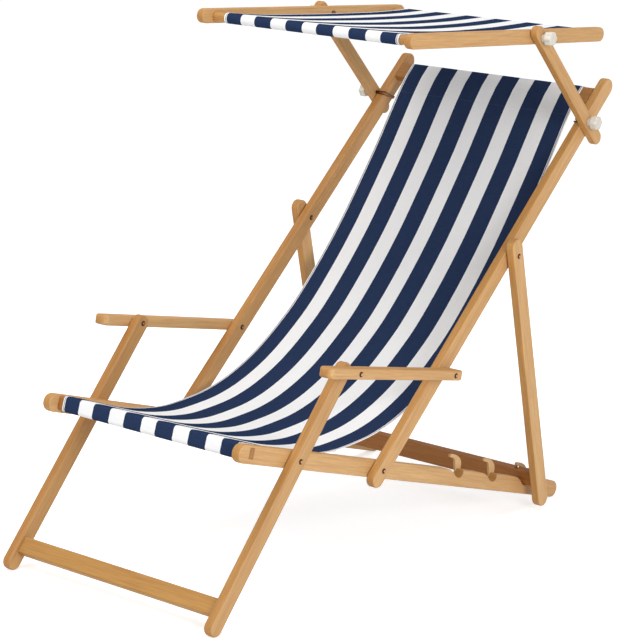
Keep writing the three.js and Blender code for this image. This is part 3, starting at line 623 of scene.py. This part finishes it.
def sheet_mesh(name, line, half, mat, aside, lean=0.0):
    """A sheet of cloth with thickness: line is its middle in the side view, half its half width.

    It lies to one side by the two amounts in aside, at its start and at its end. Between its ends
    its right edge hangs higher by lean, and its left edge as much lower.
    """
    rows = len(line)
    travelled = travelled_along(line)
    normals = normals_of(line)
    low, high = min(p.x for p in line), max(p.x for p in line)
    verts = []
    for level in (0.5, -0.5):
        for i in range(rows):
            share = travelled[i] / travelled[-1]
            rise = lean * math.sin(math.pi * (line[i].x - low) / (high - low)) ** 2
            for j in range(COLUMNS + 1):
                side = 2 * j / COLUMNS - 1
                x = half * side + aside[0] * (1 - share) + aside[1] * share
                p = line[i] + normals[i] * (level * CLOTH_SHOWN)
                verts.append((x, p.x, p.y - rise * side))
    per = COLUMNS + 1
    layer = rows * per
    faces = []
    for i in range(rows - 1):
        for j in range(COLUMNS):
            a = i * per + j
            faces.append((a, a + per, a + per + 1, a + 1))
            faces.append((layer + a, layer + a + 1, layer + a + per + 1, layer + a + per))
    flats = len(faces)
    for i in range(rows - 1):
        a = i * per
        faces.append((a, layer + a, layer + a + per, a + per))
        a = i * per + COLUMNS
        faces.append((a, a + per, layer + a + per, layer + a))
    for j in range(COLUMNS):
        faces.append((j, j + 1, layer + j + 1, layer + j))
        a = (rows - 1) * per + j
        faces.append((a, layer + a, layer + a + 1, a + 1))
    mesh = bpy.data.meshes.new(name)
    mesh.from_pydata(verts, [], faces)
    uv = mesh.uv_layers.new(name="cloth")
    for loop in mesh.loops:
        row, column = divmod(loop.vertex_index % layer, per)
        uv.data[loop.index].uv = (half * (2 * column / COLUMNS - 1), travelled[row])
    for poly in mesh.polygons:
        poly.use_smooth = True
    rims = {key for poly in list(mesh.polygons)[flats:] for key in poly.edge_keys}
    for edge in mesh.edges:
        edge.use_edge_sharp = edge.key in rims
    mesh.validate()
    mesh.update()
    obj = bpy.data.objects.new(name, mesh)
    bpy.context.scene.collection.objects.link(obj)
    obj.data.materials.append(mat)
    return obj


def placed(pivot, degrees, along, up):
    """A place in the side view, from a pivot, along a board's direction and across it."""
    direction = heading(degrees)
    return pivot + direction * along + square_to(direction) * up


# The sling
# Each bar's middle, from a joint's pivot, along the board that carries the bar and across it.
FRONT_BAR_AT = (-0.121, 0.0025)
TOP_BAR_AT = (0.9429, 0.00735)
FRONT_BAR = placed(SEAT_RIVET, SEAT_ANGLE, *FRONT_BAR_AT)
TOP_BAR = placed(BACK_RIVET, BACK_ANGLE, *TOP_BAR_AT)
# Width, height and radius of the corners.
FRONT_SIZE = (0.024, 0.028, 0.006)
TOP_SIZE = (0.040, 0.019, 0.00475)
# Where the cloth starts and leaves, or arrives and ends, in quarter turns.
FRONT_TURNS = (3.6, 0.97)
TOP_TURNS = (1.09, -1.6)
# How the sling hangs between the bars: share of the chord, share of the sag. The pairs are those
# of the part's source, and go back to points along the sling's far edge in the photograph.
SLING_SAG = 0.248
SLING_SHARES = (
    (0.017, 0.082), (0.052, 0.256), (0.088, 0.426), (0.127, 0.577), (0.169, 0.708), (0.215, 0.812),
    (0.263, 0.902), (0.315, 0.965), (0.372, 0.998), (0.426, 1.0), (0.485, 0.972), (0.547, 0.92),
    (0.628, 0.806), (0.701, 0.68), (0.761, 0.558), (0.859, 0.339), (0.915, 0.2), (0.965, 0.075),
)
# How far the cloth lies off the chair's middle, at its front end and at its rear end.
SLING_ASIDE = (0.0060, 0.0010)


def hung_line(front, rear, sag, shares):
    """Hem, round the front bar, hanging middle, round the rear bar, hem.

    It gives the whole line, its hanging middle and the seams' places along the line.
    """
    middle = respaced(sagging(front[-1], rear[0], sag, shares), LINE_STEP)
    under = offset_line(middle, -HEM_CLEAR)
    count = round(HEM / LINE_STEP)
    near = round(HEM_NEAR / LINE_STEP)
    front_hem = list(reversed(under[near:count]))
    rear_hem = list(reversed(under[-count:-near]))
    bend = slice(TURN_STEPS, 2 * TURN_STEPS + 1)
    tail = catmull([front_hem[-2], front_hem[-1], front[0], front[1]], TURN_STEPS)[bend]
    head = catmull([rear[-2], rear[-1], rear_hem[0], rear_hem[1]], TURN_STEPS)[bend]
    line = front_hem[:-1] + tail + front[1:-1] + middle + rear[1:-1] + head + rear_hem[1:]
    start = length_of(front_hem[:-1] + tail + front[1:-1] + middle[:1])
    end = start + length_of(middle)
    return line, middle, [HEM_TURN, start + HEM - HEM_TURN, end - HEM + HEM_TURN]


sling_line, sling_middle, sling_seams = hung_line(
    wrap(FRONT_BAR, SEAT_ANGLE, FRONT_SIZE, FRONT_TURNS),
    wrap(TOP_BAR, BACK_ANGLE, TOP_SIZE, TOP_TURNS),
    SLING_SAG, SLING_SHARES,
)
SLING_CANVAS = canvas("canvas_sling", SLING_EDGES, sling_seams)
sling = sheet_mesh("sling_cloth", sling_line, SLING_HALF, SLING_CANVAS, SLING_ASIDE)
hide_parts("sling")
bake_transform(sling)

# The canopy
CANOPY_BAR_SIZE = (0.0185, 0.0185, 0.00851)
CANOPY_FRONT_AT = (-0.372, -0.0012)
CANOPY_REAR_AT = (0.213, -0.0012)
CANOPY_FRONT = placed(CANOPY_BOLT, RAIL_ANGLE, *CANOPY_FRONT_AT)
CANOPY_REAR = placed(CANOPY_BOLT, RAIL_ANGLE, *CANOPY_REAR_AT)
CANOPY_FRONT_TURNS = (3.6, 0.95)
CANOPY_REAR_TURNS = (1.05, -1.6)
CANOPY_SAG = 0.0105
CANOPY_SHARES = ((0.1, 0.36), (0.25, 0.75), (0.5, 1.0), (0.75, 0.75), (0.9, 0.36))
CANOPY_ASIDE = (-0.0003, 0.0010)
CANOPY_LEAN = 0.004
canopy_line, _, canopy_seams = hung_line(
    wrap(CANOPY_FRONT, RAIL_ANGLE, CANOPY_BAR_SIZE, CANOPY_FRONT_TURNS),
    wrap(CANOPY_REAR, RAIL_ANGLE, CANOPY_BAR_SIZE, CANOPY_REAR_TURNS),
    CANOPY_SAG, CANOPY_SHARES,
)
CANOPY_CANVAS = canvas("canvas_canopy", CANOPY_EDGES, canopy_seams)
canopy = sheet_mesh(
    "canopy_cover", canopy_line, CANOPY_HALF, CANOPY_CANVAS, CANOPY_ASIDE, CANOPY_LEAN
)
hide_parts("canopy_cloth")
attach(canopy, "canopy_frame")


# Stage, light, camera
FLOOR_COLOUR = (0.86, 0.86, 0.86, 1.0)
FLOOR_GLOW = 0.56  # seen by the camera and in reflections only, and lights nothing
FLOOR_REACH = 30.0
FLOOR_DROP = 0.0002
AMBIENT = 0.52
WHITE_LIGHT = (1.0, 1.0, 1.0, 1.0)
AIM = (0, 0, 0.5)
# Name, place, size in metres, power in watts.
LAMPS = (
    ("key", (4.6, -2.0, 1.9), 2.4, 121),
    ("front", (-0.8, -4.4, 3.2), 2.4, 43),
    ("top", (-0.6, -0.9, 4.8), 3.0, 92),
)


def seen_rays(net):
    """1 where a ray comes from the camera, a reflection or a refraction."""
    rays = net.node("ShaderNodeLightPath")
    seen = net.math("MAXIMUM", rays.outputs["Is Camera Ray"], rays.outputs["Is Glossy Ray"])
    return net.math("MAXIMUM", seen, rays.outputs["Is Transmission Ray"])


def stage_material():
    mat, tree, shader = new_material("studio_floor")
    net = Net(tree)
    out = [n for n in tree.nodes if n.type == "OUTPUT_MATERIAL"][0]
    shader.inputs["Base Color"].default_value = FLOOR_COLOUR
    shader.inputs["Roughness"].default_value = 0.9
    shader.inputs["Specular IOR Level"].default_value = 0.0
    glow = net.node("ShaderNodeEmission")
    glow.inputs["Color"].default_value = WHITE_LIGHT
    net.link(net.scaled(seen_rays(net), FLOOR_GLOW), glow.inputs["Strength"])
    both = net.node("ShaderNodeAddShader")
    net.link(shader.outputs[0], both.inputs[0])
    net.link(glow.outputs[0], both.inputs[1])
    net.link(both.outputs[0], out.inputs[0])
    return mat


def stage_floor():
    signs = ((-1, -1), (1, -1), (1, 1), (-1, 1))
    corners = [(x * FLOOR_REACH, y * FLOOR_REACH, 0) for x, y in signs]
    mesh = bpy.data.meshes.new("studio_floor")
    mesh.from_pydata(corners, [], [(0, 1, 2, 3)])
    mesh.materials.append(stage_material())
    floor = bpy.data.objects.new("studio_floor", mesh)
    floor.location.z = -FLOOR_DROP
    bpy.context.scene.collection.objects.link(floor)


def studio_world():
    """An even white light, which looks plain white where it is seen."""
    world = bpy.data.worlds.new("studio")
    bpy.context.scene.world = world
    world.use_nodes = True
    world.node_tree.nodes.clear()
    net = Net(world.node_tree)
    out = net.node("ShaderNodeOutputWorld")
    back = net.node("ShaderNodeBackground")
    back.inputs["Color"].default_value = WHITE_LIGHT
    extra = net.scaled(seen_rays(net), 1.0 - AMBIENT)
    net.link(net.math("ADD", AMBIENT, extra), back.inputs["Strength"])
    net.link(back.outputs[0], out.inputs[0])


def lamp(name, place, size, power):
    data = bpy.data.lights.new(name, "AREA")
    data.shape = "SQUARE"
    data.size = size
    data.energy = power
    obj = bpy.data.objects.new(name, data)
    obj.location = place
    direction = Vector(AIM) - Vector(place)
    obj.rotation_euler = direction.to_track_quat("-Z", "Y").to_euler()
    bpy.context.scene.collection.objects.link(obj)


def camera():
    a, e, r = (math.radians(v) for v in (CAM_AZIMUTH, CAM_ELEVATION, CAM_ROLL))
    back_axis = Vector((math.sin(a) * math.cos(e), -math.cos(a) * math.cos(e), math.sin(e)))
    right = Vector((math.cos(a), math.sin(a), 0.0))
    up = back_axis.cross(right)
    right2 = right * math.cos(r) + up * math.sin(r)
    up2 = up * math.cos(r) - right * math.sin(r)
    data = bpy.data.cameras.new("photo")
    data.sensor_width = SENSOR
    data.lens = FOCAL_PIXELS / IMAGE_HEIGHT * SENSOR
    data.clip_end = CAM_REACH
    obj = bpy.data.objects.new("photo", data)
    turn = Matrix((right2, up2, back_axis)).transposed().to_4x4()
    obj.matrix_world = Matrix.Translation(CAM_PLACE) @ turn
    bpy.context.scene.collection.objects.link(obj)
    bpy.context.scene.camera = obj


stage_floor()
studio_world()
for settings in LAMPS:
    lamp(*settings)
camera()
bpy.context.scene.view_settings.view_transform = "Standard"
